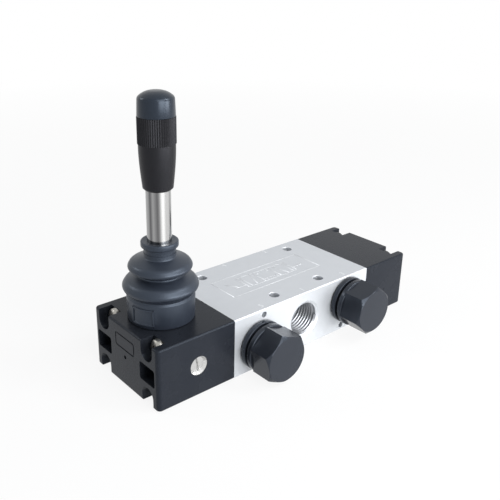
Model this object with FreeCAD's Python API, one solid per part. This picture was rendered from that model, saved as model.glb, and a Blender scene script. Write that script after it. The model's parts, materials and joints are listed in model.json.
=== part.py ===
"""Hand lever air valve: a 5/3 spool valve with G1/2 ports, worked by a hinged lever.

Millimetres. +X runs from the lever housing to the end cover, -Y is the supply side and
+Z is up. The origin is the middle of the aluminium body's underside.
"""
import FreeCAD
import Part
import math
import os

V = FreeCAD.Vector
X_AXIS = V(1, 0, 0)
Y_AXIS = V(0, 1, 0)
Z_AXIS = V(0, 0, 1)

# valve block: body, lever housing and end cover share one section
width = 56.7
height = 33.0
housing_length = 46.0
cover_length = 35.5
body_edge = 0.5
end_corner_radius = 2.2
long_edge_radius = 1.0

# ports, G1/2; the exhausts are staggered up and down to clear the accessory holes
port_pitch = 16.5
port_rise = 0.3
exhaust_step = 2.3
thread_minor_radius = 9.315
thread_depth = 13.5
port_mouth_radius = 10.8
port_mouth_depth = 1.0
port_core_radius = 6.5

# mounting holes through the body and small accessory holes in its front
rear_hole_middle = 0.5
rear_hole_spacing = 65.8
rear_hole_y = 20.4
front_hole_middle = 1.55
front_hole_spacing = 33.5
front_hole_y = -19.6
mounting_hole_radius = 2.75
mounting_hole_sink = 0.3
accessory_x = 30.2
accessory_offset = 13.5
accessory_radius = 1.65
accessory_depth = 6.0

# spool, seals and cages in the body bore
bore_radius = 12.0
seal_width = 2.7
cage_inner_radius = 9.0
cage_groove_radius = 10.8
cage_window_width = 9.0
cage_window_height = 5.0
cage_window_count = 6
land_radius = 8.0
spool_clearance = 0.05
waist_radius = 5.2
end_bush_length = 7.15
inner_lap = 2.125
outer_lap = 2.025
end_lap = 6.425
end_land_inset = 1.75
land_lead = 0.6
stem_radius = 5.5
stub_radius = 4.0
stub_length = 8.0
stroke = 5.0

# face seals between body and ends
face_seal_inner_radius = 13.2
face_seal_width = 2.2
face_seal_depth = 1.2

# end screws, M5 button head with a hexagon socket
screw_side_inset = 9.15
screw_edge_inset = 4.5
screw_radius = 2.5
screw_head_radius = 4.4
screw_head_height = 2.8
screw_head_rounding = 1.5
screw_socket_flats = 3.0
screw_socket_depth = 1.5
screw_recess_radius = 4.7
screw_recess_depth = 7.5
screw_bite = 8.5
screw_gap = 0.05
screw_clear = 0.25

# cored pockets, label frame and breather in the end faces
pocket_inner_y = 13.0
pocket_width = 12.4
pocket_height = 9.4
pocket_depth = 12.0
pocket_corner = 1.2
label_width = 17.0
label_height = 7.4
label_z = 24.0
label_groove = 0.7
label_depth = 0.35
breather_radius = 1.0

# lever housing inside
lever_inset = 21.95
cavity_gap = 1.0
stop_gap = 0.4
spool_hole_gap = 0.2
turret_outer_radius = 14.5
turret_height = 10.0
turret_bore_radius = 9.0
pivot_rise = 4.0
turret_lead = 0.6

# clevis on the spool, round bar with a vertical slot for the lever's ball
clevis_radius = 9.0
clevis_length = 24.0
clevis_shift = 1.0
ball_radius = 4.0
ball_side_gap = 0.15
slot_half_width = 4.6
slot_floor_gap = 1.3
slot_flare = 1.0
slot_flare_rise = 5.2
clevis_pin_radius = 1.5
clevis_pin_inset = 4.0

# lever hub, pin, bush, rod
hub_radius = 8.7
hub_cheek = 8.0
hub_neck_radius = 7.0
hub_top_rise = 15.0
tail_radius = 2.6
pivot_pin_radius = 2.5
pivot_pin_length = 27.0
pivot_play = 0.05
bush_wall = 1.0
rod_radius = 6.0
rod_stub_length = 9.0
rod_thread_radius = 4.0

# grip, from its lower end upwards
grip_bottom_z = 98.6
grip_bottom_radius = 7.25
grip_corner = 0.9
grip_length = 21.8
grip_middle_share = 0.4
grip_middle_radius = 8.07
grip_upper_share = 0.72
grip_upper_radius = 8.57
grip_top_radius = 8.66
band_length = 12.4
band_radius = 9.0
flute_depth = 0.3
flute_count = 54
cap_foot_radius = 8.9
cap_side_length = 8.0
cap_radius = 8.5
cap_dome_rise = 3.7
cap_edge_radius = 1.4
cap_peg_radius = 4.5
cap_peg_length = 5.0
rod_socket_depth = 2.0
insert_radius = 5.6
insert_length = 17.0
grip_thread_length = 16.0

# boot; rises are above the housing's top, radii are of the corners before rounding
boot_wall = 1.6
boot_fit = 0.1
boot_lift = 0.3
brow_drop = 0.4
skirt_foot_radius = 16.8
skirt_radius = 17.0
skirt_rise = 12.5
undercut_radius = 16.2
undercut_rise = 13.5
lower_rim_radius = 19.4
lower_rim_rise = 16.9
lower_rim_rounding = 2.2
lower_brow_radius = 17.2
lower_brow_rise = 20.4
lower_brow_rounding = 3.5
waist_tip_radius = 10.4
waist_tip_rise = 23.5
waist_tip_rounding = 1.0
upper_rim_radius = 16.4
upper_rim_rise = 26.6
upper_rim_rounding = 1.5
upper_brow_radius = 14.6
upper_brow_rise = 29.7
upper_brow_rounding = 3.0
neck_radius = 8.0
neck_rise = 32.0
neck_step = 0.2
neck_step_rise = 34.3
collar_radius = 9.2
collar_rise = 37.1
collar_height = 3.0
collar_dish_radius = 8.2
collar_dish = 0.9

# raised bare frame on the boot's skirt, towards the housing's end
frame_turn = 203.5
frame_half_angle = 20.5
frame_low_rise = 1.9
frame_high_rise = 10.7
frame_proud = 0.4
frame_line = 0.9

# detent: plug, spring and ball in the housing's front wall
detent_inset = 23.75
detent_ball_radius = 3.175
detent_ball_gap = 0.05
detent_bore_gap = 0.12
detent_groove_radius = 3.3
detent_groove_depth = 0.35
plug_radius = 5.0
plug_sink = 0.2
plug_length = 7.0
plug_rim = 0.15
plug_dish_radius = 3.9
plug_dish_depth = 1.4
plug_slot_width = 1.1
plug_slot_depth = 1.2
plug_slot_turn = -8.0
spring_wire_radius = 0.35
spring_mean_radius = 2.3
spring_turns = 5.0

# silencers in the two exhaust ports
silencer_stem_length = 11.0
silencer_thread_gap = 0.04
silencer_bore_radius = 7.0
silencer_leg_wall = 1.5
silencer_leg_gap = 0.05
silencer_leg_depth = 8.0
silencer_slot_width = 5.0
silencer_flange_radius = 13.25
silencer_flange_rounding = 0.6
silencer_base_flange = 2.8
silencer_groove = 1.6
silencer_head_flange = 2.8
silencer_hex_flats = 24.0
silencer_head_length = 12.6
silencer_face_radius = 11.85
silencer_face_chamfer = 1.75
silencer_seal_thickness = 0.6
silencer_seal_radius = 12.6
felt_radius = 10.8
left_hex_turn = 41.0
right_hex_turn = 16.0

# derived places
axis_height = height / 2
screw_y = width / 2 - screw_side_inset
screw_offset = axis_height - screw_edge_inset
stack_half = 2.5 * port_pitch + seal_width / 2
half_body = stack_half + end_bush_length
body_length = 2 * half_body
end_x = -half_body - housing_length
cover_x = half_body + cover_length
front_y = -width / 2
back_y = width / 2
lever_x = end_x + lever_inset
detent_x = end_x + detent_inset
pivot_z = height + pivot_rise
clevis_left = lever_x - clevis_length / 2 + clevis_shift
clevis_right = clevis_left + clevis_length
cavity_left = clevis_left - stroke - stop_gap
cavity_right = clevis_right + stroke + stop_gap
cavity_half_width = clevis_radius + cavity_gap
cage_length = port_pitch - seal_width
seal_inner_radius = land_radius + spool_clearance
centre_land_start = 0.5 * port_pitch - inner_lap
centre_land_end = 1.5 * port_pitch + outer_lap
end_land_start = 2.5 * port_pitch - end_lap
end_land_end = half_body - end_land_inset
port_z = axis_height + port_rise
exhaust_x = 2 * port_pitch
bush_outer_radius = pivot_pin_radius + pivot_play + bush_wall
band_bottom_z = grip_bottom_z + grip_length
band_top_z = band_bottom_z + band_length
plug_outer_y = front_y + plug_sink
plug_inner_y = plug_outer_y + plug_length
detent_ball_y = -clevis_radius - detent_ball_gap - detent_ball_radius


def rod(radius, start, end, centre, axis="x"):
    """Cylinder from start to end along an axis, at the two other coordinates."""
    a, b = centre
    base = {"x": V(start, a, b), "y": V(a, start, b), "z": V(a, b, start)}[axis]
    way = {"x": X_AXIS, "y": Y_AXIS, "z": Z_AXIS}[axis]
    if end < start:
        way = way * -1
    return Part.makeCylinder(radius, abs(end - start), base, way)


def tube(outer, inner, start, end, centre, axis="x"):
    """Plain ring between two radii."""
    return rod(outer, start, end, centre, axis).cut(rod(inner, start, end, centre, axis))


def block(x0, x1, y0, y1, z0, z1):
    """Box between two corners."""
    return Part.makeBox(x1 - x0, y1 - y0, z1 - z0, V(x0, y0, z0))


def hexagon(flats, start, end, centre, axis="x", turn=0.0):
    """Hexagonal prism, flat to flat size given, with a corner at the turn angle."""
    a, b = centre
    r = flats / math.sqrt(3)
    points = []
    for i in range(7):
        t = math.radians(turn + 60 * i)
        u = r * math.cos(t)
        w = r * math.sin(t)
        place = {
            "x": V(start, a + u, b + w),
            "y": V(a + u, start, b + w),
            "z": V(a + u, b + w, start),
        }[axis]
        points.append(place)
    step = {"x": X_AXIS, "y": Y_AXIS, "z": Z_AXIS}[axis] * (end - start)
    return Part.Face(Part.makePolygon(points)).extrude(step)


def turned(profile, centre):
    """Solid turned about the vertical line at (x, y) from a closed (radius, z) profile."""
    x, y = centre
    points = [V(x + r, y, z) for r, z in profile]
    face = Part.Face(Part.makePolygon(points + [points[0]]))
    return face.revolve(V(x, y, 0), Z_AXIS, 360)


def corner_arc(before, corner, after, rounding):
    """Start, middle and end of the arc that rounds a corner between two straight runs."""
    to_before = (before - corner).normalize()
    to_after = (after - corner).normalize()
    half = to_before.getAngle(to_after) / 2
    reach = rounding / math.tan(half)
    bisector = (to_before + to_after).normalize()
    middle = corner + bisector * (rounding / math.sin(half) - rounding)
    return corner + to_before * reach, middle, corner + to_after * reach


def rounded_turn(corners, centre):
    """Solid turned about a vertical line from closed (radius, z, rounding) corners."""
    x, y = centre
    points = [V(x + r, y, z) for r, z, _ in corners]
    edges = []
    first = None
    last = None
    for index, point in enumerate(points):
        start = end = point
        rounding = corners[index][2]
        if rounding:
            after = points[(index + 1) % len(points)]
            start, middle, end = corner_arc(points[index - 1], point, after, rounding)
            edges.append(Part.Arc(start, middle, end).toShape())
        if last is None:
            first = start
        else:
            edges.append(Part.LineSegment(last, start).toShape())
        last = end
    edges.append(Part.LineSegment(last, first).toShape())
    wire = Part.Wire(Part.__sortEdges__(edges))
    return Part.Face(wire).revolve(V(x, y, 0), Z_AXIS, 360)


def save(name, shape):
    """Write one node and say what is in it."""
    shape.exportStep("parts/" + name + ".step")
    print(name, len(shape.Solids), round(shape.Volume, 1), shape.isValid())


def screw_places():
    """The four (y, z) places of the screws at either end."""
    places = []
    for side in (-1, 1):
        for level in (-1, 1):
            places.append((side * screw_y, axis_height + level * screw_offset, level))
    return places


def screw_recess(x_outer, inward):
    """Four round-bottomed notches, open at the end face and at the top or underside."""
    x_floor = x_outer + inward * screw_recess_depth
    low = min(x_outer - inward, x_floor)
    high = max(x_outer - inward, x_floor)
    cuts = []
    for y, z, level in screw_places():
        cuts.append(rod(screw_recess_radius, low, high, (y, z)))
        edge = z + level * screw_recess_radius * 2
        cuts.append(
            block(
                low,
                high,
                y - screw_recess_radius,
                y + screw_recess_radius,
                min(z, edge),
                max(z, edge),
            )
        )
    return cuts


def end_pockets(x_outer, inward):
    """Two cored pockets at mid height in an end face."""
    cuts = []
    x_floor = x_outer + inward * pocket_depth
    low = min(x_outer - inward, x_floor)
    high = max(x_outer - inward, x_floor)
    for side in (-1, 1):
        y0 = side * pocket_inner_y
        y1 = side * (pocket_inner_y + pocket_width)
        pocket = block(
            low,
            high,
            min(y0, y1),
            max(y0, y1),
            axis_height - pocket_height / 2,
            axis_height + pocket_height / 2,
        )
        along = [e for e in pocket.Edges if abs(e.tangentAt(e.FirstParameter).x) > 0.99]
        cuts.append(pocket.makeFillet(pocket_corner, along))
    return cuts


def end_block(x0, x1, x_outer):
    """Outer form of the housing or the cover: rounded outer corners and long edges."""
    form = block(x0, x1, front_y, back_y, 0, height)
    upright = []
    for edge in form.Edges:
        middle = edge.CenterOfMass
        if abs(middle.x - x_outer) < 1e-6 and abs(middle.z - height / 2) < 1e-6:
            upright.append(edge)
    form = form.makeFillet(end_corner_radius, upright)
    rims = []
    for edge in form.Edges:
        box = edge.BoundBox
        flat = box.ZLength < 1e-6
        on_joint = abs(box.XMin - x0) < 1e-6 and box.XLength < 1e-6 and x_outer != x0
        on_joint = on_joint or (abs(box.XMax - x1) < 1e-6 and box.XLength < 1e-6 and x_outer != x1)
        if flat and not on_joint:
            rims.append(edge)
    return form.makeFillet(long_edge_radius, rims)


def valve_body():
    """Aluminium block with the spool bore, five ports and the mounting holes."""
    form = block(-half_body, half_body, front_y, back_y, 0, height)
    long_edges = [e for e in form.Edges if e.BoundBox.XLength > body_length - 1]
    form = form.makeChamfer(body_edge, long_edges)
    cuts = [rod(bore_radius, -half_body - 1, half_body + 1, (0, axis_height))]
    for x, z, side in port_places():
        face = side * width / 2
        inner = face - side * thread_depth
        cuts.append(rod(thread_minor_radius, face + side, inner, (x, z), "y"))
        cuts.append(rod(port_core_radius, inner, side * bore_radius / 2, (x, z), "y"))
        mouth = V(x, face, z)
        cuts.append(
            Part.makeCone(
                port_mouth_radius, thread_minor_radius, port_mouth_depth, mouth, Y_AXIS * -side
            )
        )
    for x, y in mounting_holes():
        cuts.append(rod(mounting_hole_radius, -1, height + 1, (x, y), "z"))
        wide = mounting_hole_radius + mounting_hole_sink
        top = V(x, y, height)
        bottom = V(x, y, 0)
        cuts.append(Part.makeCone(wide, mounting_hole_radius, mounting_hole_sink, top, Z_AXIS * -1))
        cuts.append(Part.makeCone(wide, mounting_hole_radius, mounting_hole_sink, bottom, Z_AXIS))
    for side in (-1, 1):
        place = (side * accessory_x, axis_height - side * accessory_offset)
        cuts.append(rod(accessory_radius, front_y - 1, front_y + accessory_depth, place, "y"))
    for y, z, _ in screw_places():
        for end in (-1, 1):
            hole = rod(screw_radius + screw_gap, end * (half_body + 1), end * screw_tip(), (y, z))
            cuts.append(hole)
    return form.cut(cuts)


def port_places():
    """(x, z, side) of the five ports: supply and exhausts in front (-1), outlets behind (1)."""
    return [
        (0, port_z, -1),
        (-port_pitch, port_z, 1),
        (port_pitch, port_z, 1),
        (-exhaust_x, port_z - exhaust_step, -1),
        (exhaust_x, port_z + exhaust_step, -1),
    ]


def mounting_holes():
    """Places of the four vertical holes."""
    places = []
    for side in (-0.5, 0.5):
        places.append((rear_hole_middle + side * rear_hole_spacing, rear_hole_y))
        places.append((front_hole_middle + side * front_hole_spacing, front_hole_y))
    return places


def screw_tip():
    """Distance of the screw tips from the middle of the body."""
    return half_body - screw_bite


def face_seal_groove(x_joint, outward):
    """Groove for the ring that seals the joint at the body's end."""
    outer = face_seal_inner_radius + face_seal_width
    return tube(
        outer,
        face_seal_inner_radius,
        x_joint,
        x_joint + outward * face_seal_depth,
        (0, axis_height),
    )


def lever_housing():
    """Black housing: cavity for the clevis, turret for the lever and detent bore."""
    form = end_block(end_x, -half_body, end_x)
    turret = rod(turret_outer_radius, height - 1, height + turret_height, (lever_x, 0), "z")
    rim = [e for e in turret.Edges if abs(e.CenterOfMass.z - height - turret_height) < 1e-6]
    form = form.fuse(turret.makeChamfer(turret_lead, rim))
    cavity = block(
        cavity_left,
        cavity_right,
        -cavity_half_width,
        cavity_half_width,
        axis_height - cavity_half_width,
        axis_height + cavity_half_width,
    )
    cuts = [
        cavity,
        rod(turret_bore_radius, axis_height, height + turret_height + 1, (lever_x, 0), "z"),
        rod(land_radius + spool_hole_gap, cavity_right - 1, -half_body + 1, (0, axis_height)),
        rod(pivot_pin_radius, -turret_outer_radius, turret_outer_radius, (lever_x, pivot_z), "y"),
        rod(
            detent_ball_radius + detent_bore_gap,
            -cavity_half_width + 1,
            plug_inner_y,
            (detent_x, axis_height),
            "y",
        ),
        rod(plug_radius, plug_inner_y, front_y - 1, (detent_x, axis_height), "y"),
        rod(breather_radius, end_x - 1, cavity_left + 1, (0, axis_height)),
        label_frame(end_x),
        face_seal_groove(-half_body, -1),
    ]
    cuts += screw_recess(end_x, 1)
    cuts += end_pockets(end_x, 1)
    for y, z, _ in screw_places():
        cuts.append(rod(screw_radius + screw_clear, end_x, -half_body + 1, (y, z)))
    return form.cut(cuts)


def label_frame(x_face):
    """Shallow rounded frame line round the bare label place on the housing's end face."""

    def plate(half_y, half_z, corner):
        form = block(x_face - 1, x_face + label_depth, -half_y, half_y, label_z - half_z, label_z + half_z)
        along = [e for e in form.Edges if e.BoundBox.XLength > 0.9]
        return form.makeFillet(corner, along)

    outer = plate(label_width / 2, label_height / 2, 1.5)
    inner = plate(label_width / 2 - label_groove, label_height / 2 - label_groove, 1.5 - label_groove)
    return outer.cut(inner)


def end_cover():
    """Closed black cover with a blind bore for the spool's free end."""
    form = end_block(half_body, cover_x, cover_x)
    bore_end = cover_x - pocket_depth
    cuts = [
        rod(cavity_half_width, half_body - 1, bore_end, (0, axis_height)),
        face_seal_groove(half_body, 1),
    ]
    cuts += screw_recess(cover_x, -1)
    cuts += end_pockets(cover_x, -1)
    for y, z, _ in screw_places():
        cuts.append(rod(screw_radius + screw_clear, half_body - 1, cover_x, (y, z)))
    return form.cut(cuts)


def end_screws(end):
    """Four socket head screws through the housing (-1) or the cover (+1)."""
    x_outer = end_x if end < 0 else cover_x
    seat = x_outer - end * screw_recess_depth
    face = seat + end * screw_head_height
    solids = []
    for y, z, _ in screw_places():
        head = rod(screw_head_radius, seat, face, (y, z))
        rim = [e for e in head.Edges if abs(e.CenterOfMass.x - face) < 1e-6]
        head = head.makeFillet(screw_head_rounding, rim)
        socket = hexagon(screw_socket_flats, face - end * screw_socket_depth, face + end, (y, z))
        shank = rod(screw_radius, seat, end * (screw_tip() + 0.3), (y, z))
        solids.append(head.cut(socket).fuse(shank).removeSplitter())
    return Part.makeCompound(solids)


def face_seal(x_joint, outward):
    """Ring lying in the groove at a joint."""
    return tube(
        face_seal_inner_radius + face_seal_width - 0.1,
        face_seal_inner_radius + 0.1,
        x_joint,
        x_joint + outward * face_seal_depth,
        (0, axis_height),
    )


def port_cages():
    """Five windowed rings between the spool seals, one at each port."""
    rings = []
    for index in range(-2, 3):
        x = index * port_pitch
        ring = tube(
            bore_radius,
            cage_inner_radius,
            x - cage_length / 2,
            x + cage_length / 2,
            (0, axis_height),
        )
        groove = tube(
            bore_radius + 1,
            cage_groove_radius,
            x - cage_window_width / 2,
            x + cage_window_width / 2,
            (0, axis_height),
        )
        windows = [groove]
        for turn in range(cage_window_count):
            window = block(
                x - cage_window_width / 2,
                x + cage_window_width / 2,
                cage_inner_radius - 2,
                bore_radius + 1,
                -cage_window_height / 2,
                cage_window_height / 2,
            )
            window.rotate(V(0, 0, 0), X_AXIS, 30 + turn * 360 / cage_window_count)
            window.translate(V(0, 0, axis_height))
            windows.append(window)
        rings.append(ring.cut(windows))
    return Part.makeCompound(rings)


def spool_seals():
    """Six lip rings that the spool lands run in."""
    rings = []
    for index in range(6):
        x = (index - 2.5) * port_pitch
        ring = tube(
            bore_radius,
            seal_inner_radius,
            x - seal_width / 2,
            x + seal_width / 2,
            (0, axis_height),
        )
        groove = tube(
            bore_radius - 1.4,
            seal_inner_radius + 1.1,
            x - seal_width / 2 - 1,
            x - seal_width / 2 + 0.6,
            (0, axis_height),
        )
        rings.append(ring.cut(groove))
    return Part.makeCompound(rings)


def end_bushes():
    """Two guide bushes that close the seal stack and carry the spool."""
    rings = []
    for end in (-1, 1):
        ring = tube(
            bore_radius,
            seal_inner_radius,
            end * stack_half,
            end * half_body,
            (0, axis_height),
        )
        rings.append(ring)
    return Part.makeCompound(rings)


def spool():
    """Turned spool: two wide middle lands, two end lands, stem and threaded stub."""
    profile = [
        (0, end_land_end),
        (land_radius - land_lead, end_land_end),
        (land_radius, end_land_end - land_lead),
        (land_radius, end_land_start + land_lead),
        (waist_radius, end_land_start),
        (waist_radius, centre_land_end),
        (land_radius, centre_land_end - land_lead),
        (land_radius, centre_land_start + land_lead),
        (waist_radius, centre_land_start),
        (waist_radius, -centre_land_start),
        (land_radius, -centre_land_start - land_lead),
        (land_radius, -centre_land_end + land_lead),
        (waist_radius, -centre_land_end),
        (waist_radius, -end_land_start),
        (land_radius, -end_land_start - land_lead),
        (land_radius, -end_land_end),
        (stem_radius, -end_land_end - land_lead),
        (stem_radius, clevis_right),
        (stub_radius, clevis_right),
        (stub_radius, clevis_right - stub_length + land_lead),
        (stub_radius - land_lead, clevis_right - stub_length),
        (0, clevis_right - stub_length),
    ]
    points = [V(x, 0, axis_height + r) for r, x in profile]
    face = Part.Face(Part.makePolygon(points + [points[0]]))
    form = face.revolve(V(0, 0, axis_height), X_AXIS, 360)
    pin_hole = rod(clevis_pin_radius, 0, height, (clevis_pin_x(), 0), "z")
    return form.cut(pin_hole)


def clevis_pin_x():
    """Place of the cross pin that locks the clevis on the spool."""
    return clevis_right - clevis_pin_inset


def spool_clevis():
    """Round clevis with a blind slot for the ball, three detent grooves and a cross hole."""
    form = rod(clevis_radius, clevis_left, clevis_right, (0, axis_height))
    ends = [e for e in form.Edges if e.BoundBox.XLength < 1e-6]
    form = form.makeChamfer(0.5, ends)
    half = ball_radius + ball_side_gap
    slot = block(
        lever_x - half,
        lever_x + half,
        -slot_half_width,
        slot_half_width,
        axis_height - ball_radius - slot_floor_gap,
        height,
    )
    flare = block(
        lever_x - half - slot_flare,
        lever_x + half + slot_flare,
        -slot_half_width,
        slot_half_width,
        axis_height + slot_flare_rise,
        height,
    )
    cuts = [
        slot,
        flare,
        rod(stub_radius, clevis_right + 1, clevis_right - stub_length, (0, axis_height)),
        rod(clevis_pin_radius, 0, height, (clevis_pin_x(), 0), "z"),
    ]
    groove_y = -clevis_radius - detent_groove_radius + detent_groove_depth
    for place in (-1, 0, 1):
        groove = rod(detent_groove_radius, 0, height, (detent_x + place * stroke, groove_y), "z")
        cuts.append(groove)
    return form.cut(cuts)


def clevis_pin():
    """Spring pin through clevis and spool."""
    reach = clevis_radius - 0.6
    return rod(
        clevis_pin_radius,
        axis_height - reach,
        axis_height + reach,
        (clevis_pin_x(), 0),
        "z",
    )


def lever_hub():
    """Ball-shaped hub on the pivot pin, with a neck for the rod and a tail ball below."""
    centre = V(lever_x, 0, pivot_z)
    form = Part.makeSphere(hub_radius, centre)
    top = pivot_z + hub_top_rise
    form = form.fuse(rod(hub_neck_radius, pivot_z, top, (lever_x, 0), "z"))
    form = form.common(block(-500, 500, -hub_cheek, hub_cheek, 0, 500))
    form = form.fuse(rod(tail_radius, axis_height, pivot_z, (lever_x, 0), "z"))
    form = form.fuse(Part.makeSphere(ball_radius, V(lever_x, 0, axis_height)))
    cuts = [
        rod(bush_outer_radius, -hub_cheek - 1, hub_cheek + 1, (lever_x, pivot_z), "y"),
        rod(rod_thread_radius, top - rod_stub_length, top + 1, (lever_x, 0), "z"),
    ]
    return form.cut(cuts)


def pivot_bush():
    """Bronze bush pressed into the hub."""
    inner = pivot_pin_radius + pivot_play
    return tube(bush_outer_radius, inner, -hub_cheek, hub_cheek, (lever_x, pivot_z), "y")


def pivot_pin():
    """Pin across the turret that the lever turns on."""
    half = pivot_pin_length / 2
    pin = rod(pivot_pin_radius, -half, half, (lever_x, pivot_z), "y")
    ends = [e for e in pin.Edges if e.BoundBox.YLength < 1e-6]
    return pin.makeChamfer(0.4, ends)


def lever_rod():
    """Steel rod with a threaded stub at either end."""
    bottom = pivot_z + hub_top_rise
    shoulder = grip_bottom_z + rod_socket_depth
    lower_end = bottom - rod_stub_length + 0.5
    upper_end = shoulder + grip_thread_length
    profile = [
        (0, lower_end),
        (rod_thread_radius - 0.6, lower_end),
        (rod_thread_radius, lower_end + 0.6),
        (rod_thread_radius, bottom),
        (rod_radius, bottom),
        (rod_radius, shoulder - 0.5),
        (rod_radius - 0.5, shoulder),
        (rod_thread_radius, shoulder),
        (rod_thread_radius, upper_end - 0.6),
        (rod_thread_radius - 0.6, upper_end),
        (0, upper_end),
    ]
    return turned(profile, (lever_x, 0))


def grip_body():
    """Tapered grip moulding with the fluted band."""
    shoulder = grip_bottom_z + rod_socket_depth
    insert_top = shoulder + insert_length
    side_points = [
        V(grip_bottom_radius, 0, grip_bottom_z + grip_corner),
        V(grip_middle_radius, 0, grip_bottom_z + grip_middle_share * grip_length),
        V(grip_upper_radius, 0, grip_bottom_z + grip_upper_share * grip_length),
        V(grip_top_radius, 0, band_bottom_z),
    ]
    curve = Part.BSplineCurve()
    curve.interpolate(side_points)
    corner_start = V(grip_bottom_radius - grip_corner, 0, grip_bottom_z)
    outline = [
        side_points[-1],
        V(0, 0, band_bottom_z),
        V(0, 0, grip_bottom_z),
        corner_start,
        side_points[0],
    ]
    edges = [Part.LineSegment(a, b).toShape() for a, b in zip(outline, outline[1:])]
    form = Part.Face(Part.Wire([curve.toShape()] + edges)).revolve(V(0, 0, 0), Z_AXIS, 360)
    rim = []
    for step in range(2 * flute_count + 1):
        t = math.pi * step / flute_count
        r = band_radius - (flute_depth if step % 2 else 0)
        rim.append(V(r * math.cos(t), r * math.sin(t), band_bottom_z))
    rim[-1] = rim[0]
    form = form.fuse(Part.Face(Part.makePolygon(rim)).extrude(Z_AXIS * band_length))
    form.translate(V(lever_x, 0, 0))
    cuts = [
        rod(rod_radius + 0.02, grip_bottom_z - 1, shoulder, (lever_x, 0), "z"),
        rod(insert_radius, shoulder - 0.5, insert_top, (lever_x, 0), "z"),
        rod(cap_peg_radius, band_top_z - cap_peg_length, band_top_z + 1, (lever_x, 0), "z"),
    ]
    return form.cut(cuts)


def grip_insert():
    """Threaded brass insert moulded into the grip."""
    shoulder = grip_bottom_z + rod_socket_depth
    top = shoulder + insert_length
    return tube(insert_radius, rod_thread_radius, shoulder, top, (lever_x, 0), "z")


def grip_cap():
    """Cap on top of the fluted band: tapered side, rounded brim and shallow dome."""
    brim_z = band_top_z + cap_side_length
    top_z = brim_z + cap_dome_rise
    dome = (cap_radius**2 + cap_dome_rise**2) / (2 * cap_dome_rise)
    half = math.asin(cap_radius / dome) / 2
    brim = V(cap_radius, 0, brim_z)
    middle = V(dome * math.sin(half), 0, top_z - dome * (1 - math.cos(half)))
    top = V(0, 0, top_z)
    foot = V(cap_foot_radius, 0, band_top_z)
    inner = V(0, 0, band_top_z)
    edges = [
        Part.LineSegment(inner, foot).toShape(),
        Part.LineSegment(foot, brim).toShape(),
        Part.Arc(brim, middle, top).toShape(),
        Part.LineSegment(top, inner).toShape(),
    ]
    form = Part.Face(Part.Wire(edges)).revolve(V(0, 0, 0), Z_AXIS, 360)
    flat = [e for e in form.Edges if e.BoundBox.ZLength < 1e-6]
    form = form.makeFillet(cap_edge_radius, [e for e in flat if abs(e.CenterOfMass.z - brim_z) < 1e-6])
    form.translate(V(lever_x, 0, 0))
    peg = rod(cap_peg_radius, band_top_z - cap_peg_length, band_top_z, (lever_x, 0), "z")
    return form.fuse(peg)


def boot_folds(shrink):
    """The two folds and the waist between them, as (radius, z, rounding) corners, upwards."""
    drop = brow_drop * shrink
    return [
        (lower_rim_radius - shrink, height + lower_rim_rise, lower_rim_rounding),
        (lower_brow_radius - shrink, height + lower_brow_rise - drop, lower_brow_rounding),
        (waist_tip_radius - shrink, height + waist_tip_rise, waist_tip_rounding),
        (upper_rim_radius - shrink, height + upper_rim_rise, upper_rim_rounding),
        (upper_brow_radius - shrink, height + upper_brow_rise - drop, upper_brow_rounding),
    ]


def boot():
    """Rubber bellows between the turret and the rod."""
    fit = turret_outer_radius + boot_fit
    hold = rod_radius + 0.03
    foot_z = height + boot_lift
    neck_z = height + neck_rise
    step_z = height + neck_step_rise
    collar_z = height + collar_rise
    top_z = collar_z + collar_height
    upwards = [
        (fit, foot_z, 0),
        (skirt_foot_radius, foot_z, 0.3),
        (skirt_radius, height + skirt_rise, 0.6),
        (undercut_radius, height + undercut_rise, 0.4),
    ]
    upwards += boot_folds(0)
    upwards += [
        (neck_radius, neck_z, 0.6),
        (neck_radius, step_z, 0),
        (neck_radius - neck_step, step_z, 0),
        (neck_radius - neck_step, collar_z, 0),
        (collar_radius, collar_z, 0.5),
        (collar_radius, top_z, 0.6),
        (collar_dish_radius, top_z, 0.3),
    ]
    downwards = [(hold, top_z - collar_dish, 0), (hold, neck_z - boot_wall, 0)]
    downwards += boot_folds(boot_wall)[::-1]
    downwards += [(fit, height + undercut_rise, 0)]
    return rounded_turn(upwards + downwards, (lever_x, 0)).fuse(skirt_frame())


def skirt_frame():
    """Raised bare frame on the skirt, towards the housing's end."""
    low = height + frame_low_rise
    high = height + frame_high_rise
    line_angle = math.degrees(frame_line / skirt_radius)
    outer = skirt_panel(frame_proud, low, high, frame_half_angle)
    inner = skirt_panel(
        frame_proud + 1, low + frame_line, high - frame_line, frame_half_angle - line_angle
    )
    return outer.cut(inner)


def skirt_panel(proud, low, high, half_angle):
    """Curved plate on the skirt, its middle at the frame's turn about the lever."""
    inner = skirt_foot_radius - 0.4
    outer = skirt_radius + proud
    points = [V(inner, 0, low), V(outer, 0, low), V(outer, 0, high), V(inner, 0, high)]
    face = Part.Face(Part.makePolygon(points + [points[0]]))
    face.rotate(V(0, 0, 0), Z_AXIS, frame_turn - half_angle)
    plate = face.revolve(V(0, 0, 0), Z_AXIS, 2 * half_angle)
    plate.translate(V(lever_x, 0, 0))
    return plate


def detent_plug():
    """Dished and slotted plug that holds the detent spring."""
    place = (detent_x, axis_height)
    plug = rod(plug_radius, plug_outer_y, plug_inner_y, place, "y")
    dish = Part.makeCone(
        plug_radius - plug_rim,
        plug_dish_radius,
        plug_dish_depth,
        V(detent_x, plug_outer_y, axis_height),
        Y_AXIS,
    )
    slot = block(
        detent_x - plug_slot_width / 2,
        detent_x + plug_slot_width / 2,
        plug_outer_y + plug_dish_depth - 0.5,
        plug_outer_y + plug_dish_depth + plug_slot_depth,
        axis_height - plug_dish_radius,
        axis_height + plug_dish_radius,
    )
    slot.rotate(V(detent_x, plug_outer_y, axis_height), Y_AXIS, plug_slot_turn)
    return plug.cut([dish, slot])


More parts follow.
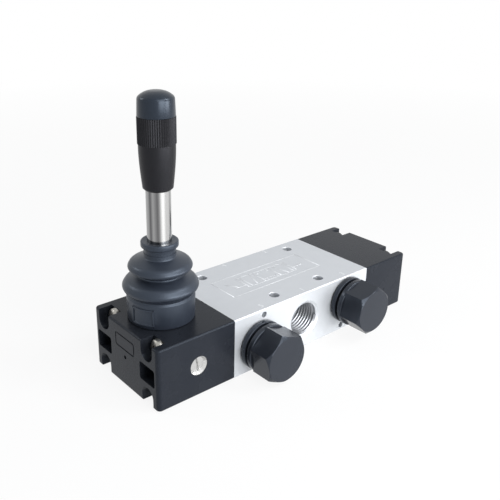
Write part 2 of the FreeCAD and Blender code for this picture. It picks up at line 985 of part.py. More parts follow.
def detent_ball():
    """Steel ball that falls into the clevis grooves."""
    return Part.makeSphere(detent_ball_radius, V(detent_x, detent_ball_y, axis_height))


def detent_spring():
    """Compression spring between plug and ball."""
    near = detent_ball_y - math.sqrt(detent_ball_radius**2 - spring_mean_radius**2)
    near = near - spring_wire_radius * 1.6
    far = plug_inner_y + spring_wire_radius + 0.05
    length = near - far
    helix = Part.makeHelix(length / spring_turns, length, spring_mean_radius)
    start = helix.Edges[0].firstVertex().Point
    circle = Part.makeCircle(spring_wire_radius, start, Y_AXIS)
    coil = Part.Wire(helix.Edges).makePipeShell([Part.Wire(circle)], True, True)
    coil.rotate(V(0, 0, 0), X_AXIS, -90)
    coil.translate(V(detent_x, far, axis_height))
    return coil


def silencer_flange(inner, outer, place):
    """Round flange with softened rims."""
    flange = rod(silencer_flange_radius, inner, outer, place, "y")
    rims = [e for e in flange.Edges if e.BoundBox.YLength < 1e-6]
    return flange.makeFillet(silencer_flange_rounding, rims)


def silencer_base(place):
    """Threaded stem and flange of a silencer."""
    seat = front_y - silencer_seal_thickness
    stem_end = front_y + silencer_stem_length
    stem = rod(thread_minor_radius - silencer_thread_gap, stem_end, seat, place, "y")
    flange_outer = seat - silencer_base_flange
    flange = silencer_flange(seat, flange_outer, place)
    bore = rod(silencer_bore_radius, stem_end + 1, flange_outer - 1, place, "y")
    return stem.fuse(flange).cut(bore)


def silencer_head(place, turn):
    """Hexagonal head with its flange and the slotted legs that hold it in the base."""
    x, z = place
    flange_inner = front_y - silencer_seal_thickness - silencer_base_flange - silencer_groove
    flange_outer = flange_inner - silencer_head_flange
    flange = silencer_flange(flange_inner, flange_outer, place)
    face = flange_outer - silencer_head_length
    nut = hexagon(silencer_hex_flats, flange_outer + 0.5, face, place, "y", turn)
    corner_radius = silencer_hex_flats / math.sqrt(3)
    slope = (corner_radius - silencer_face_radius) / silencer_face_chamfer
    reach = silencer_head_length + 0.5
    cone = Part.makeCone(
        silencer_face_radius + reach * slope,
        silencer_face_radius,
        reach,
        V(x, flange_outer + 0.5, z),
        Y_AXIS * -1,
    )
    nut = nut.common(cone)
    legs_end = front_y + silencer_leg_depth
    leg_outer = silencer_bore_radius - silencer_leg_gap
    legs = tube(leg_outer, leg_outer - silencer_leg_wall, legs_end, flange_inner - 0.5, place, "y")
    half = silencer_slot_width / 2
    reach = silencer_bore_radius
    upright = block(x - half, x + half, flange_inner, legs_end + 1, z - reach, z + reach)
    across = block(x - reach, x + reach, flange_inner, legs_end + 1, z - half, z + half)
    legs = legs.cut([upright, across])
    return flange.fuse([nut, legs])


def silencer_felt(place):
    """Porous ring in the gap between the two flanges."""
    outer = front_y - silencer_seal_thickness - silencer_base_flange
    return tube(felt_radius, silencer_bore_radius, outer, outer - silencer_groove, place, "y")


def silencer_seal(place):
    """Flat ring between the flange and the valve body."""
    outer = front_y - silencer_seal_thickness
    return tube(silencer_seal_radius, port_mouth_radius, front_y, outer, place, "y")


def main():
    """Build every node."""
    os.makedirs("parts", exist_ok=True)
    save("valve_body", valve_body())
    save("lever_housing", lever_housing())
    save("end_cover", end_cover())
    save("housing_face_seal", face_seal(-half_body, -1))
    save("cover_face_seal", face_seal(half_body, 1))
    save("housing_screws", end_screws(-1))
    save("cover_screws", end_screws(1))
    save("port_cages", port_cages())
    save("spool_seals", spool_seals())
    save("end_bushes", end_bushes())
    save("spool", spool())
    save("spool_clevis", spool_clevis())
    save("clevis_pin", clevis_pin())
    save("lever_hub", lever_hub())
    save("pivot_bush", pivot_bush())
    save("pivot_pin", pivot_pin())
    save("lever_rod", lever_rod())
    save("grip_body", grip_body())
    save("grip_insert", grip_insert())
    save("grip_cap", grip_cap())
    save("boot", boot())
    save("detent_plug", detent_plug())
    save("detent_spring", detent_spring())
    save("detent_ball", detent_ball())
    left_port = (-exhaust_x, port_z - exhaust_step)
    right_port = (exhaust_x, port_z + exhaust_step)
    for side, place, turn in (
        ("left", left_port, left_hex_turn),
        ("right", right_port, right_hex_turn),
    ):
        save(side + "_silencer_base", silencer_base(place))
        save(side + "_silencer_head", silencer_head(place, turn))
        save(side + "_silencer_felt", silencer_felt(place))
        save(side + "_silencer_seal", silencer_seal(place))


main()
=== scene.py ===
"""Dresses the hand lever air valve: finishes, bellows boot, port threads, marking and studio."""

import json
import logging
import math
from dataclasses import dataclass
from enum import Enum

import bmesh
import bpy
from mathutils import Matrix, Vector

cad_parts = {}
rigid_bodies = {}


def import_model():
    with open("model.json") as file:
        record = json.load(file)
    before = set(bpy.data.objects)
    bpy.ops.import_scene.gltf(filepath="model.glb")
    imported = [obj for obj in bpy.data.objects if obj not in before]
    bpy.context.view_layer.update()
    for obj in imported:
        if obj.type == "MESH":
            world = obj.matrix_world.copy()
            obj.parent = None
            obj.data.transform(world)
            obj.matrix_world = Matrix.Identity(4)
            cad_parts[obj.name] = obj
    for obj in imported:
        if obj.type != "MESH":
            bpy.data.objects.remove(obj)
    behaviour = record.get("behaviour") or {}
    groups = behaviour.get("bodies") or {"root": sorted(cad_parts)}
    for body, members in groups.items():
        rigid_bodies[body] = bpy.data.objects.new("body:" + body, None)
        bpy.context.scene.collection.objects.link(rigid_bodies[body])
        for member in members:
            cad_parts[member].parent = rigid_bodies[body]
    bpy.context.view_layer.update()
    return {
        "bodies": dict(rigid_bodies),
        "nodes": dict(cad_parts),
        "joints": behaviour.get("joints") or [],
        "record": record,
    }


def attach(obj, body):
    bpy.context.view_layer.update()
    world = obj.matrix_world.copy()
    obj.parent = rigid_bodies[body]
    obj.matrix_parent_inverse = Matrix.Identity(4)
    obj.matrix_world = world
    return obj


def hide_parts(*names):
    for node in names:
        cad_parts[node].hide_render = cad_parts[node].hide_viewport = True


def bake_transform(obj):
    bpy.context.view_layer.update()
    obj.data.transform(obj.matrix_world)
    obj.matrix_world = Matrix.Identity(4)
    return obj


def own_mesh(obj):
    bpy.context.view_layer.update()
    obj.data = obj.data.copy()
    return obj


LOG = logging.getLogger("valve")
MM = 0.001
WELD_REACH = 1e-6
MERGE_REACH = 1e-7
LEVER_X = -73.8
BROAD_NOISE = 0.06
CELL_NOISE = 1.4
LEAST_ROUGH = 0.02

Point = tuple[float, float, float]
Colour = tuple[float, float, float]
Corner = tuple[float, float, float]
Spot = tuple[float, float]


class Body(Enum):
    """The bodies that pieces ride on."""

    BASE = "base"
    LEVER = "lever"
    SPOOL = "spool"
    DETENT = "detent"


class Grain(Enum):
    """Ways a surface is broken up."""

    # a drawn bar's grain, whose colour also carries painted reflections of the studio round the bar
    CAST = "cast"
    BLASTED = "blasted"
    TURNED = "turned"
    DRAWN_WITH_PAINTED_REFLECTIONS = "drawn"
    MOULDED = "moulded"
    POROUS = "porous"


@dataclass(frozen=True)
class Finish:
    """One finish of the valve, built as a node material.

    Attributes:
        name: Name of the material.
        colour: Base colour.
        other: Colour that the noise mixes in.
        metal: Metallic share.
        rough: Mean roughness.
        rough_swing: How far the noise moves the roughness either way.
        grain: How the surface is broken up.
        grain_scale: Noise scale in object space.
        bump: Bump strength.
        bump_depth: Bump distance in metres.
        shine: Specular level of the surface.
        tint: Tint of the specular shine.
        coat: Clear coat share.
        coat_rough: Roughness of the clear coat.
        stretch: Object space stretch of the grain.
        centre: Place that the grain's space is measured from, before the stretch.
        painted_reflections: Painted reflections of the studio round a drawn bar, as (angle in degrees,
            share of the other colour) bands; the brightest pair is a painted highlight stripe.
        grain_in_painted_reflections: Share of fine grain noise mixed into the painted reflections.
        slot: Material slot of the record, if it isn't the finish's own name.
    """

    name: str
    colour: Colour
    other: Colour
    metal: float = 0.0
    rough: float = 0.5
    rough_swing: float = 0.05
    grain: Grain = Grain.MOULDED
    grain_scale: float = 900.0
    bump: float = 0.15
    bump_depth: float = 0.0001
    shine: float = 0.5
    tint: Colour = (1.0, 1.0, 1.0)
    coat: float = 0.0
    coat_rough: float = 0.1
    stretch: Point = (1.0, 1.0, 1.0)
    centre: Point = (0.0, 0.0, 0.0)
    painted_reflections: tuple[Spot, ...] = ()
    grain_in_painted_reflections: float = 0.06
    slot: str = ""

    @property
    def record_slot(self) -> str:
        """Name of the record's material slot."""
        return self.slot or self.name

    def build(self) -> bpy.types.Material:
        """Make the node material.

        Returns:
            The material.
        """
        material = bpy.data.materials.new(self.name)
        material.use_nodes = True
        material.diffuse_color = (*self.colour, 1.0)
        nodes = material.node_tree.nodes
        links = material.node_tree.links
        nodes.clear()
        out = nodes.new("ShaderNodeOutputMaterial")
        shader = nodes.new("ShaderNodeBsdfPrincipled")
        links.new(shader.outputs["BSDF"], out.inputs["Surface"])
        shader.inputs["Metallic"].default_value = self.metal
        shader.inputs["Specular IOR Level"].default_value = self.shine
        shader.inputs["Specular Tint"].default_value = (*self.tint, 1.0)
        shader.inputs["Coat Weight"].default_value = self.coat
        shader.inputs["Coat Roughness"].default_value = self.coat_rough
        place = nodes.new("ShaderNodeTexCoord")
        mapping = nodes.new("ShaderNodeMapping")
        mapping.inputs["Scale"].default_value = self.stretch
        mapping.inputs["Location"].default_value = [-c * s for c, s in zip(self.centre, self.stretch)]
        links.new(place.outputs["Object"], mapping.inputs["Vector"])
        fine = self._noise(nodes, links, mapping, self.grain_scale, 3.0)
        broad = self._noise(nodes, links, mapping, self.grain_scale * BROAD_NOISE, 2.0)
        mix = nodes.new("ShaderNodeMix")
        mix.data_type = "RGBA"
        mix.inputs["A"].default_value = (*self.colour, 1.0)
        mix.inputs["B"].default_value = (*self.other, 1.0)
        # a drawn bar's colour is painted reflections of the studio, by angle round it
        if self.grain is Grain.DRAWN_WITH_PAINTED_REFLECTIONS:
            links.new(self._painted_reflections(nodes, links, mapping, fine), mix.inputs["Factor"])
        else:
            links.new(broad, mix.inputs["Factor"])
        links.new(mix.outputs["Result"], shader.inputs["Base Color"])
        span = nodes.new("ShaderNodeMapRange")
        span.inputs["To Min"].default_value = max(LEAST_ROUGH, self.rough - self.rough_swing)
        span.inputs["To Max"].default_value = min(1.0, self.rough + self.rough_swing)
        links.new(broad, span.inputs["Value"])
        links.new(span.outputs["Result"], shader.inputs["Roughness"])
        bump = nodes.new("ShaderNodeBump")
        bump.inputs["Strength"].default_value = self.bump
        bump.inputs["Distance"].default_value = self.bump_depth
        links.new(self._relief(nodes, links, mapping, fine), bump.inputs["Height"])
        links.new(bump.outputs["Normal"], shader.inputs["Normal"])
        return material

    def _noise(
        self,
        nodes: bpy.types.Nodes,
        links: bpy.types.NodeLinks,
        mapping: bpy.types.Node,
        scale: float,
        detail: float,
    ) -> bpy.types.NodeSocket:
        """Add a noise texture.

        Args:
            nodes: Nodes of the material.
            links: Links of the material.
            mapping: Node that gives the place.
            scale: Noise scale.
            detail: Noise detail.

        Returns:
            The noise's factor socket.
        """
        noise = nodes.new("ShaderNodeTexNoise")
        noise.inputs["Scale"].default_value = scale
        noise.inputs["Detail"].default_value = detail
        links.new(mapping.outputs["Vector"], noise.inputs["Vector"])
        return noise.outputs["Fac"]

    def _painted_reflections(
        self,
        nodes: bpy.types.Nodes,
        links: bpy.types.NodeLinks,
        mapping: bpy.types.Node,
        fine: bpy.types.NodeSocket,
    ) -> bpy.types.NodeSocket:
        """Add painted reflections of the studio round a drawn bar: dull and bright bands along it, set
        by angle round its axis, with a painted highlight stripe and some fine grain.

        Args:
            nodes: Nodes of the material.
            links: Links of the material.
            mapping: Node that gives the place from the bar's axis.
            fine: Fine noise socket.

        Returns:
            The socket with the share of the lighter colour.
        """
        place = nodes.new("ShaderNodeSeparateXYZ")
        links.new(mapping.outputs["Vector"], place.inputs["Vector"])
        turn = nodes.new("ShaderNodeMath")
        turn.operation = "ARCTAN2"
        links.new(place.outputs["Y"], turn.inputs[0])
        links.new(place.outputs["X"], turn.inputs[1])
        share = nodes.new("ShaderNodeMapRange")
        share.inputs["From Min"].default_value = -math.pi
        share.inputs["From Max"].default_value = math.pi
        links.new(turn.outputs["Value"], share.inputs["Value"])
        ramp = nodes.new("ShaderNodeValToRGB")
        ramp.color_ramp.interpolation = "LINEAR"
        stops = ramp.color_ramp.elements
        stops[0].position = 0.0
        stops[0].color = (self.painted_reflections[0][1],) * 3 + (1.0,)
        stops[1].position = 1.0
        stops[1].color = (self.painted_reflections[0][1],) * 3 + (1.0,)
        for angle, light in self.painted_reflections[1:]:
            stop = stops.new((angle + 180.0) / 360.0)
            stop.color = (light, light, light, 1.0)
        links.new(share.outputs["Result"], ramp.inputs["Fac"])
        mix = nodes.new("ShaderNodeMix")
        mix.inputs["Factor"].default_value = self.grain_in_painted_reflections
        links.new(ramp.outputs["Color"], mix.inputs["A"])
        links.new(fine, mix.inputs["B"])
        return mix.outputs["Result"]

    def _relief(
        self,
        nodes: bpy.types.Nodes,
        links: bpy.types.NodeLinks,
        mapping: bpy.types.Node,
        fine: bpy.types.NodeSocket,
    ) -> bpy.types.NodeSocket:
        """Give the height that drives the bump.

        Args:
            nodes: Nodes of the material.
            links: Links of the material.
            mapping: Node that gives the place.
            fine: Fine noise socket.

        Returns:
            The socket with the height.
        """
        if self.grain in (Grain.POROUS, Grain.CAST):
            cells = nodes.new("ShaderNodeTexVoronoi")
            cells.inputs["Scale"].default_value = self.grain_scale * CELL_NOISE
            links.new(mapping.outputs["Vector"], cells.inputs["Vector"])
            return cells.outputs["Distance"]
        return fine


# tint of the shine on the black pieces
BLUISH: Colour = (0.66, 0.78, 0.95)

ALUMINIUM = Finish(
    "anodised_aluminium",
    (0.590, 0.612, 0.642),
    (0.555, 0.578, 0.608),
    metal=0.55,
    rough=0.46,
    rough_swing=0.04,
    grain=Grain.BLASTED,
    grain_scale=2600.0,
    bump=0.12,
    bump_depth=0.00004,
)
# Bare cut aluminium of the port threads, darkened with painted shade for the shade inside the ports
THREAD_ALUMINIUM_PAINTED_SHADE = Finish(
    "thread_aluminium_painted_shade",
    (0.32, 0.33, 0.35),
    (0.24, 0.25, 0.27),
    metal=0.9,
    rough=0.30,
    grain=Grain.TURNED,
    grain_scale=1200.0,
    bump=0.06,
    bump_depth=0.00003,
    slot="anodised_aluminium",
)
BLACK_CAST = Finish(
    "black_cast",
    (0.012, 0.014, 0.019),
    (0.017, 0.019, 0.024),
    rough=0.27,
    grain=Grain.CAST,
    grain_scale=1500.0,
    bump=0.12,
    bump_depth=0.00004,
    shine=0.15,
    tint=BLUISH,
)
RUBBER = Finish(
    "boot_rubber",
    (0.011, 0.014, 0.021),
    (0.016, 0.020, 0.029),
    rough=0.40,
    rough_swing=0.05,
    grain_scale=1100.0,
    bump=0.08,
    bump_depth=0.00006,
    shine=0.6,
    tint=BLUISH,
)
GLOSS_BLACK = Finish(
    "silencer_plastic",
    (0.013, 0.015, 0.020),
    (0.018, 0.020, 0.026),
    rough=0.24,
    rough_swing=0.04,
    grain_scale=700.0,
    bump=0.05,
    bump_depth=0.00005,
    shine=0.35,
    tint=BLUISH,
    coat=0.05,
    coat_rough=0.08,
)
GRIP_BLACK = Finish(
    "grip_plastic",
    (0.005, 0.005, 0.006),
    (0.008, 0.008, 0.009),
    rough=0.42,
    grain_scale=1300.0,
    bump=0.12,
    bump_depth=0.00006,
    shine=0.25,
    tint=(0.80, 0.82, 0.92),
)
CAP_BLACK = Finish(
    "cap_plastic",
    (0.009, 0.012, 0.018),
    (0.012, 0.016, 0.023),
    rough=0.28,
    rough_swing=0.03,
    grain_scale=700.0,
    bump=0.04,
    bump_depth=0.00004,
    shine=0.4,
    tint=BLUISH,
)
# Polished rod steel whose colour runs from dark to bright by angle round the rod: painted reflections
# of the studio, not a finish of the bar
ROD_STEEL = Finish(
    "rod_steel",
    (0.06, 0.06, 0.065),
    (0.96, 0.96, 0.95),
    metal=1.0,
    rough=0.16,
    rough_swing=0.03,
    grain=Grain.DRAWN_WITH_PAINTED_REFLECTIONS,
    grain_scale=1400.0,
    bump=0.06,
    bump_depth=0.00003,
    stretch=(1.0, 1.0, 0.012),
    centre=(LEVER_X * MM, 0.0, 0.0),
    # painted reflections round the rod; the pair at 1.00 is a painted highlight stripe
    painted_reflections=(
        (180.0, 0.30),
        (-172.0, 0.18),
        (-165.0, 0.02),
        (-150.0, 0.30),
        (-130.0, 0.06),
        (-121.0, 0.22),
        (-108.0, 1.00),
        (-102.0, 1.00),
        (-92.0, 0.58),
        (-75.0, 0.58),
        (-62.0, 0.30),
        (-35.0, 0.75),
        (5.0, 0.35),
        (40.0, 0.85),
        (65.0, 0.30),
        (105.0, 0.70),
        (140.0, 0.25),
    ),
)
SCREW_STEEL = Finish(
    "screw_steel",
    (0.70, 0.70, 0.69),
    (0.58, 0.58, 0.58),
    metal=1.0,
    rough=0.26,
    grain=Grain.TURNED,
    grain_scale=900.0,
    bump=0.08,
    bump_depth=0.00004,
)
SCREW_ZINC = Finish(
    "screw_zinc",
    (0.40, 0.39, 0.36),
    (0.30, 0.29, 0.27),
    metal=1.0,
    rough=0.34,
    grain=Grain.TURNED,
    grain_scale=900.0,
    bump=0.08,
    bump_depth=0.00004,
    slot="screw_steel",
)
SCREW_BLACK = Finish(
    "screw_black",
    (0.012, 0.012, 0.014),
    (0.020, 0.020, 0.022),
    rough=0.42,
    grain_scale=900.0,
    shine=0.4,
)
PLAIN_STEEL = Finish(
    "steel",
    (0.56, 0.56, 0.57),
    (0.48, 0.48, 0.49),
    metal=1.0,
    rough=0.32,
    grain=Grain.TURNED,
    grain_scale=800.0,
)
SPOOL_METAL = Finish(
    "spool_aluminium",
    (0.78, 0.79, 0.80),
    (0.70, 0.71, 0.73),
    metal=1.0,
    rough=0.25,
    grain=Grain.TURNED,
    grain_scale=800.0,
)
BRASS = Finish(
    "bush_brass",
    (0.72, 0.53, 0.26),
    (0.62, 0.45, 0.22),
    metal=1.0,
    rough=0.30,
    grain=Grain.TURNED,
    grain_scale=800.0,
)
CAGE_PLASTIC = Finish(
    "cage_plastic",
    (0.60, 0.60, 0.58),
    (0.54, 0.54, 0.52),
    rough=0.45,
    grain_scale=800.0,
)
SEAL_RUBBER = Finish(
    "seal_rubber",
    (0.012, 0.012, 0.013),
    (0.02, 0.02, 0.022),
    rough=0.55,
    grain_scale=900.0,
)
FELT = Finish(
    "felt_fibre",
    (0.020, 0.020, 0.022),
    (0.050, 0.050, 0.052),
    rough=0.9,
    grain=Grain.POROUS,
    grain_scale=1800.0,
    bump=0.7,
    bump_depth=0.0003,
)
MARKING = Finish(
    "laser_marking",
    (0.74, 0.76, 0.785),
    (0.70, 0.72, 0.745),
    metal=0.4,
    rough=0.5,
    grain_scale=2500.0,
    bump=0.05,
    bump_depth=0.00002,
    slot="anodised_aluminium",
)


class FinishShelf:
    """Builds each finish once."""

    def __init__(self) -> None:
        """Start with no finish built."""
        self._made: dict[str, bpy.types.Material] = {}

    def get(self, finish: Finish) -> bpy.types.Material:
        """Give the material of a finish.

        Args:
            finish: The finish wanted.

        Returns:
            Its material.
        """
        if finish.name not in self._made:
            self._made[finish.name] = finish.build()
        return self._made[finish.name]


@dataclass
class SubAssembly:
    """A group of pieces of the valve, with sizes in millimetres.

    Attributes:
        shelf: Where finishes come from.
        frame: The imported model.
        lever_x: Place of the lever's axis along the valve.
        turns: Steps of a full turn.
        wide_rounding: Rounding from which a turned corner gets the finer arc.
        wide_steps: Steps of the finer arc.
        narrow_steps: Steps of any other arc.
        edge_angle: Angle in degrees from which an edge is broken.
        edge_steps: Steps across a broken edge.
    """

    shelf: FinishShelf
    frame: dict
    lever_x: float = LEVER_X
    turns: int = 112
    wide_rounding: float = 0.8
    wide_steps: int = 6
    narrow_steps: int = 3
    edge_angle: float = 40.0
    edge_steps: int = 1

    def dress(self, node: str, finish: Finish, smooth: float = 32.0, edge: float = 0.0) -> None:
        """Give a carried-over node its finish and smooth shading.

        Args:
            node: Name of the node.
            finish: Its finish.
            smooth: Angle in degrees up to which faces are shaded as one.
            edge: Width of the broken edges in millimetres, 0 for none.
        """
        obj = self.frame["nodes"][node]
        obj.data.materials.clear()
        obj.data.materials.append(self.shelf.get(finish))
        for polygon in obj.data.polygons:
            polygon.use_smooth = True
            polygon.material_index = 0
        obj.modifiers.new("weld", "WELD").merge_threshold = WELD_REACH
        if edge:
            break_edges(obj, edge, self.edge_steps, self.edge_angle)
        split_edges(obj, smooth)
        if edge:
            obj.modifiers.new("flats", "WEIGHTED_NORMAL").keep_sharp = True
        LOG.info("dressed %s in %s", node, finish.name)

    def place(
        self, name: str, mesh: bpy.types.Mesh, finish: Finish, body: Body | None
    ) -> bpy.types.Object:
        """Make a mesh a piece that rides on a body.

        Args:
            name: Name of the piece.
            mesh: Its mesh.
            finish: Its finish.
            body: Body it rides on, None for a piece that rides on no body.

        Returns:
            The new object.
        """
        obj = bpy.data.objects.new(name, mesh)
        bpy.context.scene.collection.objects.link(obj)
        mesh.materials.clear()
        mesh.materials.append(self.shelf.get(finish))
        if body is not None:
            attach(obj, body.value)
        LOG.info("made %s", name)
        return obj

    def piece(
        self, name: str, bm: bmesh.types.BMesh, finish: Finish, body: Body | None
    ) -> bpy.types.Object:
        """Make a bmesh a smooth piece that rides on a body.

        Args:
            name: Name of the piece.
            bm: Its form, freed here.
            finish: Its finish.
            body: Body it rides on, None for a piece that rides on no body.

        Returns:
            The new object.
        """
        bmesh.ops.recalc_face_normals(bm, faces=bm.faces)
        mesh = bpy.data.meshes.new(name)
        bm.to_mesh(mesh)
        bm.free()
        for polygon in mesh.polygons:
            polygon.use_smooth = True
        return self.place(name, mesh, finish, body)

    def turned(
        self, name: str, corners: list[Corner], finish: Finish, body: Body | None
    ) -> bpy.types.Object:
        """Turn a piece about the lever's axis from a closed outline.

        Args:
            name: Name of the piece.
            corners: Corners as (radius, height, rounding).
            finish: Its finish.
            body: Body it rides on, None for a piece that rides on no body.

        Returns:
            The new object.
        """
        bm = bmesh.new()
        verts = [bm.verts.new(Vector((self.lever_x + r, 0, z)) * MM) for r, z, _ in corners]
        bm.faces.new(verts)
        for index, vert in enumerate(verts):
            corner = corners[index]
            rounding = corner[2]
            if not rounding:
                continue
            after = corners[(index + 1) % len(corners)]
            bmesh.ops.bevel(
                bm,
                geom=[vert],
                offset=reach(corners[index - 1], corner, after),
                offset_type="OFFSET",
                affect="VERTICES",
                segments=self.wide_steps if rounding > self.wide_rounding else self.narrow_steps,
                profile=0.5,
                material=-1,
                clamp_overlap=True,
            )
        bmesh.ops.delete(bm, geom=bm.faces[:], context="FACES_ONLY")
        bmesh.ops.spin(
            bm,
            geom=[*bm.verts, *bm.edges],
            cent=Vector((self.lever_x, 0, 0)) * MM,
            axis=(0, 0, 1),
            angle=math.tau,
            steps=self.turns,
            use_merge=True,
        )
        bmesh.ops.remove_doubles(bm, verts=bm.verts, dist=MERGE_REACH)
        return self.piece(name, bm, finish, body)


def reach(before: Corner, corner: Corner, after: Corner) -> float:
    """Give how far a corner's arc starts from it, in metres.

    Args:
        before: Corner before it.
        corner: The corner, with its rounding.
        after: Corner after it.

    Returns:
        The distance along either side.
    """
    here = Vector(corner[:2])
    angle = (Vector(before[:2]) - here).angle(Vector(after[:2]) - here)
    return corner[2] / math.tan(angle / 2) * MM


def break_edges(obj: bpy.types.Object, width: float, segments: int, angle: float) -> None:
    """Break a piece's sharp edges.

    Args:
        obj: The piece.
        width: Width of the broken edges in millimetres.
        segments: Steps across an edge.
        angle: Angle in degrees from which an edge is broken.
    """
    bevel = obj.modifiers.new("edge", "BEVEL")
    bevel.width = width * MM
    bevel.segments = segments
    bevel.limit_method = "ANGLE"
    bevel.angle_limit = math.radians(angle)


def split_edges(obj: bpy.types.Object, angle: float) -> None:
    """Part the shading of a piece at its sharp edges.

    Args:
        obj: The piece.
        angle: Angle in degrees up to which faces are shaded as one.
    """
    obj.modifiers.new("split", "EDGE_SPLIT").split_angle = math.radians(angle)


def settle(obj: bpy.types.Object) -> None:
    """Apply a piece's modifiers to its mesh.

    Args:
        obj: The piece.
    """
    graph = bpy.context.evaluated_depsgraph_get()
    mesh = bpy.data.meshes.new_from_object(obj.evaluated_get(graph))
    obj.modifiers.clear()
    obj.data = mesh


@dataclass
class ValveBlock(SubAssembly):
    """Aluminium body, ports and marking.

    Attributes:
        width: Width of the body.
        height: Height of the body.
        port_z: Height of the ports' axes.
        port_pitch: Distance along the body between ports of opposite faces.
        thread_pitch: Pitch of the pipe thread.
        thread_wall: Radius in the port's wall that the thread stands on.
        thread_crest: Radius of the thread's crest.
        thread_turns: Turns of the thread.
        thread_steps: Steps of one turn of the thread.
        foot_share: Half the thread's foot, as a share of the pitch.
        crest_share: Half the thread's crest, as a share of the pitch.
        mouth_depth: Depth in the port at which the thread starts.
        mark_lift: How far the marking's lines stand over the top.
        mark_depth: Thickness of the lines.
        mark_line: Width of the lines.
        mark_low: Corner of the marking's frame at the lowest x and y.
        mark_high: Corner of the marking's frame at the highest x and y.
        box_side: Side of each of the symbol's three boxes.
        box_left: Lowest x of the boxes.
        box_low: Lowest y of the boxes.
        ways: Places of the ways in a box, as shares of its side.
        stop_rise: Length of the stem of a closed way's T.
        stop_half: Half the bar of a closed way's T.
        hand_rise: Place of the hand lever's line over the lowest y of the boxes.
        hand_length: Length of the hand lever's line, from the first box.
        hand_foot: Distance from the first box to the foot of the lever.
        hand_tip: Distances from the first box's lowest corner to the lever's tip.
        notch_start: Distance from the last box to the first detent notch.
        notch_step: Distance between the detent notches.
        notch_low: Place of a notch's tip over the lowest y of the boxes.
        notch_high: Place of a notch's ends over the lowest y of the boxes.
        number_size: Size of the port numbers.
        number_weight: How much bolder the numbers are than the plain letters.
        numbers: The port numbers and their places.
    """

    width: float = 56.7
    height: float = 33.0
    port_z: float = 16.8
    port_pitch: float = 16.5
    thread_pitch: float = 1.814
    thread_wall: float = 9.4
    thread_crest: float = 8.45
    thread_turns: float = 6.5
    thread_steps: int = 64
    foot_share: float = 0.47
    crest_share: float = 0.07
    mouth_depth: float = 0.7
    mark_lift: float = 0.02
    mark_depth: float = 0.06
    mark_line: float = 0.45
    mark_low: Spot = (-33.6, -8.8)
    mark_high: Spot = (31.0, 11.6)
    box_side: float = 12.0
    box_left: float = -19.0
    box_low: float = -4.5
    ways: tuple[float, float, float] = (0.2, 0.5, 0.8)
    stop_rise: float = 2.6
    stop_half: float = 1.3
    hand_rise: float = 3.0
    hand_length: float = 8.0
    hand_foot: float = 5.0
    hand_tip: Spot = (9.5, 9.5)
    notch_start: float = 1.5
    notch_step: float = 2.4
    notch_low: float = 3.4
    notch_high: float = 5.0
    number_size: float = 4.8
    number_weight: float = 0.12
    numbers: tuple[tuple[str, Spot], ...] = (
        ("5", (-29.0, -25.95)),
        ("1", (0.8, -25.95)),
        ("3", (33.0, -25.95)),
        ("4", (-12.5, 23.95)),
        ("2", (19.5, 23.95)),
    )

    def build(self) -> None:
        """Dress the body and add threads and marking."""
        self.dress("valve_body", ALUMINIUM)
        self.dress("port_cages", CAGE_PLASTIC)
        self.dress("spool_seals", SEAL_RUBBER)
        self.dress("end_bushes", BRASS)
        self.dress("spool", SPOOL_METAL)
        self.thread("supply_thread", 0.0, -1)
        self.thread("left_outlet_thread", -self.port_pitch, 1)
        self.thread("right_outlet_thread", self.port_pitch, 1)
        self.symbol()
        self.port_numbers()

    def thread(self, name: str, x: float, side: int) -> None:
        """Wind the pipe thread's crest into a port.

        Args:
            name: Name of the piece.
            x: Place of the port along the body.
            side: -1 for the front face and 1 for the back face.
        """
        face = side * self.width / 2
        start = face - side * self.mouth_depth
        half = self.thread_pitch * self.foot_share
        flat = self.thread_pitch * self.crest_share
        bm = bmesh.new()
        corners = [
            (x + self.thread_wall, start, self.port_z),
            (x + self.thread_wall, start - side * 2 * half, self.port_z),
            (x + self.thread_crest, start - side * (half + flat), self.port_z),
            (x + self.thread_crest, start - side * (half - flat), self.port_z),
        ]
        verts = [bm.verts.new(Vector(c) * MM) for c in corners]
        profile = bm.faces.new(verts)
        steps = int(self.thread_steps * self.thread_turns)
        drop = -side * self.thread_pitch * self.thread_turns / steps
        bmesh.ops.spin(
            bm,
            geom=[profile, *profile.edges, *profile.verts],
            cent=Vector((x, start, self.port_z)) * MM,
            axis=(0, 1, 0),
            dvec=Vector((0, drop, 0)) * MM,
            angle=math.tau * self.thread_turns,
            steps=steps,
            use_duplicate=False,
        )
        # the thread takes the aluminium darkened with painted shade
        obj = self.piece(name, bm, THREAD_ALUMINIUM_PAINTED_SHADE, Body.BASE)
        for polygon in obj.data.polygons:
            polygon.use_smooth = False

    def strip(self, bm: bmesh.types.BMesh, a: Spot, b: Spot) -> None:
        """Lay one flat line on the body's top.

        Args:
            bm: Mesh that takes the line.
            a: Start of the line.
            b: End of the line.
        """
        start = Vector((*a, 0))
        along = Vector((*b, 0)) - start
        middle = start + along / 2
        middle.z = self.height + self.mark_lift - self.mark_depth / 2
        place = (
            Matrix.Translation(middle * MM)
            @ Matrix.Rotation(math.atan2(along.y, along.x), 4, "Z")
            @ Matrix.Diagonal((along.length * MM, self.mark_line * MM, self.mark_depth * MM, 1))
        )
        bmesh.ops.create_cube(bm, size=1.0, matrix=place)

